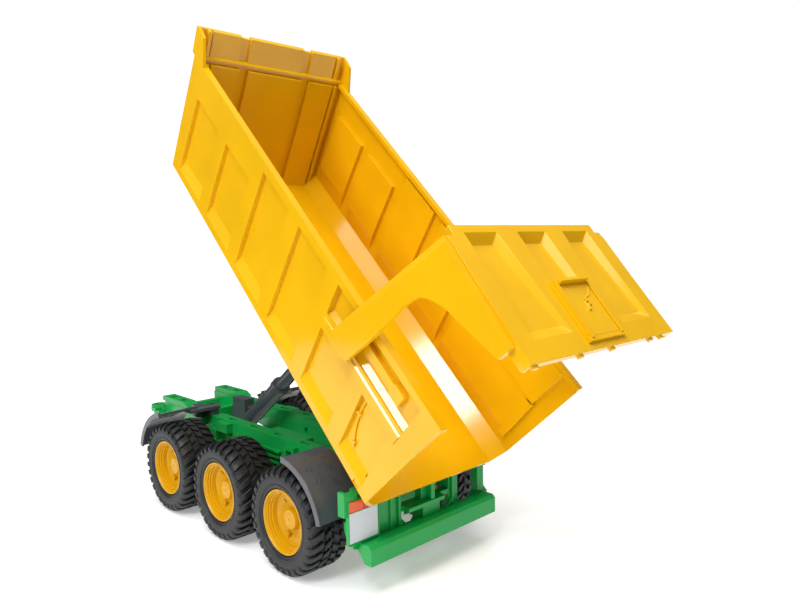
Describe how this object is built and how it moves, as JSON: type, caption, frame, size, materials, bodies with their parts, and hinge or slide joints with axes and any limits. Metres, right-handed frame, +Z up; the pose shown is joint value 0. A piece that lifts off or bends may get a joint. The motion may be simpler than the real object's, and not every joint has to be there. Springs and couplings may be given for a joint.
{
  "type": "toy tipping trailer",
  "caption": "Toy tipping trailer with a ribbed tub raised by a telescopic ram, a swinging tailgate with a grain hatch, mudguards and free-rolling wheels.",
  "frame": {"origin": "centre of the bounding box on the ground under the tyres, with the tub tipped and the tailgate open", "axes": "+X forwards to the drawbar, +Y to the left, +Z up"},
  "size_m": [0.636, 0.1846, 0.4385],
  "materials": {
    "body_yellow": "smooth moulded gloss plastic",
    "rim_yellow": "satin moulded plastic",
    "chassis_green": "satin moulded plastic",
    "dark_grey_plastic": "gloss moulded plastic",
    "tyre_rubber": "matt soft plastic",
    "steel": "plain drawn wire",
    "plate_foil": "pale foil, blank",
    "amber": "coloured foil",
    "red": "coloured foil"
  },
  "bodies": {
    "chassis": {"chassis_frame": "chassis_green", "front_headstock": "chassis_green", "drawbar": "chassis_green", "rear_frame": "chassis_green", "rear_bumper": "chassis_green", "light_holder": "chassis_green", "number_plate": "plate_foil", "amber_lens": "amber", "red_lens": "red", "front_mudguard_left": "dark_grey_plastic", "front_mudguard_right": "dark_grey_plastic", "rear_mudguard_left": "dark_grey_plastic", "rear_mudguard_right": "dark_grey_plastic", "axle_carrier_front": "chassis_green", "axle_carrier_middle": "chassis_green", "axle_carrier_rear": "chassis_green", "hydraulic_block": "dark_grey_plastic", "ram_base_bracket": "dark_grey_plastic", "ram_base_pin": "steel", "tip_hinge_pin": "steel"},
    "front_axle": {"axle_front": "steel", "rim_front_left": "rim_yellow", "rim_front_right": "rim_yellow", "tyre_front_left": "tyre_rubber", "tyre_front_right": "tyre_rubber"},
    "middle_axle": {"axle_middle": "steel", "rim_middle_left": "rim_yellow", "rim_middle_right": "rim_yellow", "tyre_middle_left": "tyre_rubber", "tyre_middle_right": "tyre_rubber"},
    "rear_axle": {"axle_rear": "steel", "rim_rear_left": "rim_yellow", "rim_rear_right": "rim_yellow", "tyre_rear_left": "tyre_rubber", "tyre_rear_right": "tyre_rubber"},
    "ram_outer": {"ram_barrel": "dark_grey_plastic", "ram_collar": "dark_grey_plastic"},
    "ram_middle": {"ram_stage_one": "dark_grey_plastic"},
    "ram_inner": {"ram_stage_two": "dark_grey_plastic"},
    "tub_body": {"tub": "body_yellow", "tub_rail_left": "body_yellow", "tub_rail_right": "body_yellow", "tub_cross_members": "body_yellow", "headboard": "body_yellow", "tub_hinge_lugs": "body_yellow", "ram_top_bracket": "body_yellow", "gate_ram_left": "body_yellow", "gate_ram_right": "body_yellow", "gate_hose_left": "body_yellow", "gate_hose_right": "body_yellow"},
    "gate": {"tailgate": "body_yellow", "gate_arm_left": "body_yellow", "gate_arm_right": "body_yellow", "gate_pivot_pins": "steel", "hatch_frame": "body_yellow"},
    "hatch": {"hatch_slide": "body_yellow"}
  },
  "joints": [
    {"name": "front_axle_spin", "type": "hinge", "parent": "chassis", "child": "front_axle", "pos_m": [0.10154, 0, 0.0424], "axis": [0, 1, 0], "continuous": true},
    {"name": "middle_axle_spin", "type": "hinge", "parent": "chassis", "child": "middle_axle", "pos_m": [0.00604, 0, 0.0424], "axis": [0, 1, 0], "continuous": true},
    {"name": "rear_axle_spin", "type": "hinge", "parent": "chassis", "child": "rear_axle", "pos_m": [-0.08946, 0, 0.0424], "axis": [0, 1, 0], "continuous": true},
    {"name": "tub_tip", "type": "hinge", "parent": "chassis", "child": "tub_body", "pos_m": [-0.12816, 0, 0.0775], "axis": [0, -1, 0], "range_deg": [-44.1, 0]},
    {"name": "ram_swing", "type": "hinge", "parent": "chassis", "child": "ram_outer", "pos_m": [0.11204, 0, 0.0612], "axis": [0, -1, 0], "range_deg": [0, 24.5]},
    {"name": "ram_stage_one_slide", "type": "slide", "parent": "ram_outer", "child": "ram_middle", "axis": [-0.7973, 0, 0.6036], "range_m": [-0.0415, 0]},
    {"name": "ram_stage_two_slide", "type": "slide", "parent": "ram_middle", "child": "ram_inner", "axis": [-0.7973, 0, 0.6036], "range_m": [-0.0415, 0]},
    {"name": "tailgate_swing", "type": "hinge", "parent": "tub_body", "child": "gate", "pos_m": [-0.18099, 0, 0.20329], "axis": [0, 1, 0], "range_deg": [-88.8, 0]},
    {"name": "grain_hatch_slide", "type": "slide", "parent": "gate", "child": "hatch", "axis": [0.6494, 0, 0.7604], "range_m": [0, 0.025]}
  ],
  "couplings": [
    {"joint": "ram_swing", "follows": "tub_tip", "ratio": -0.53206},
    {"joint": "ram_stage_one_slide", "follows": "tub_tip", "m_per_rad": 0.051806},
    {"joint": "ram_stage_two_slide", "follows": "tub_tip", "m_per_rad": 0.051806}
  ]
}
